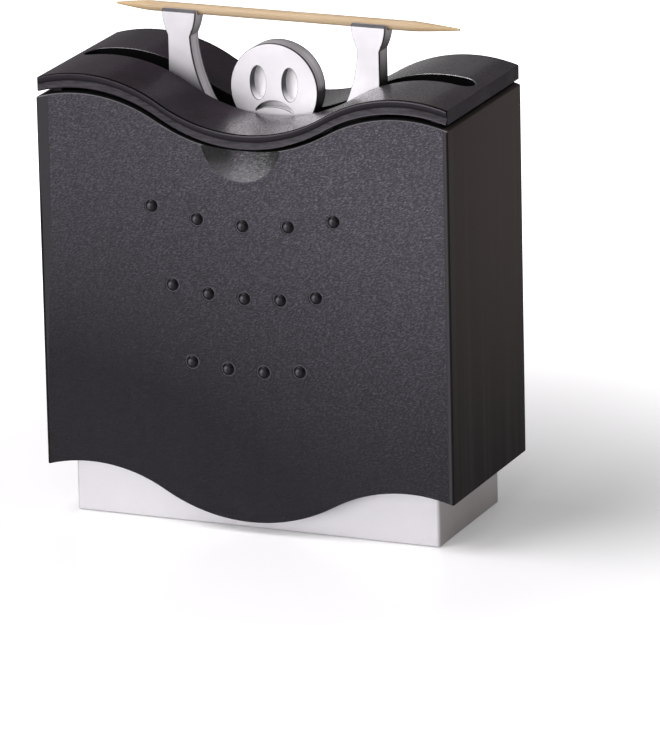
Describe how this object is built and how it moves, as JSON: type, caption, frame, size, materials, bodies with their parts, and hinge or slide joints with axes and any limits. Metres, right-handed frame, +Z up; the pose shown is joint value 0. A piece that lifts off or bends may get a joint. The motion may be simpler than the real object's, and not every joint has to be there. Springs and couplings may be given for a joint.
{
  "type": "toothpick dispenser",
  "caption": "Black wavy-topped toothpick hopper that slides on a silver base; lifting it dips a flat metal weightlifter into the picks, and lowering it raises one through the slotted lid.",
  "frame": {"origin": "middle of the underside of the anti-slip pad, on the table", "axes": "+Z up, +X along the front face to its right-hand end, +Y to the back"},
  "size_m": [0.0776, 0.0349, 0.0907],
  "materials": {
    "silver_base": "satin, lightly rounded edges",
    "figure_metal": "satin brushed front, grey sawn edge",
    "black_grain": "fine pebbled grain",
    "black_satin": "smooth satin",
    "stud_gloss": "polished dome",
    "tray_plastic": "moulded, matt",
    "steel": "turned",
    "screw_steel": "zinc plated",
    "bush_brass": "turned",
    "rubber": "matt",
    "iron": "blackened",
    "cover_plastic": "moulded, matt",
    "birch": "bare, turned"
  },
  "bodies": {
    "base": {"base_shell": "silver_base", "base_cover": "cover_plastic", "base_cover_screws": "screw_steel", "ballast_block": "iron", "ballast_screws": "screw_steel", "anti_slip_pad": "rubber", "lifter_figure": "figure_metal", "figure_bracket_front": "steel", "figure_bracket_back": "steel", "bracket_screws": "screw_steel", "clamp_screws": "screw_steel", "clamp_nuts": "screw_steel", "guide_bush_left": "bush_brass", "guide_bush_right": "bush_brass", "bump_rings": "rubber"},
    "housing": {"housing_shell": "black_grain", "front_studs": "stud_gloss", "hopper_tray": "tray_plastic", "tray_screws": "screw_steel", "guide_post_left": "steel", "guide_post_right": "steel", "post_top_screws": "screw_steel", "stop_washers": "steel", "stop_screws": "screw_steel"},
    "lid": {"lid": "black_satin"},
    "toothpick": {"toothpick": "birch"}
  },
  "joints": [
    {"name": "housing_lift", "type": "slide", "parent": "base", "child": "housing", "axis": [0, 0, 1], "range_m": [0, 0.03]},
    {"name": "lid_lift", "type": "slide", "parent": "housing", "child": "lid", "axis": [0, 0, 1], "range_m": [0, 0.045]},
    {"name": "toothpick_lift", "type": "slide", "parent": "base", "child": "toothpick", "axis": [0, 0, 1], "range_m": [0, 0.03]}
  ]
}
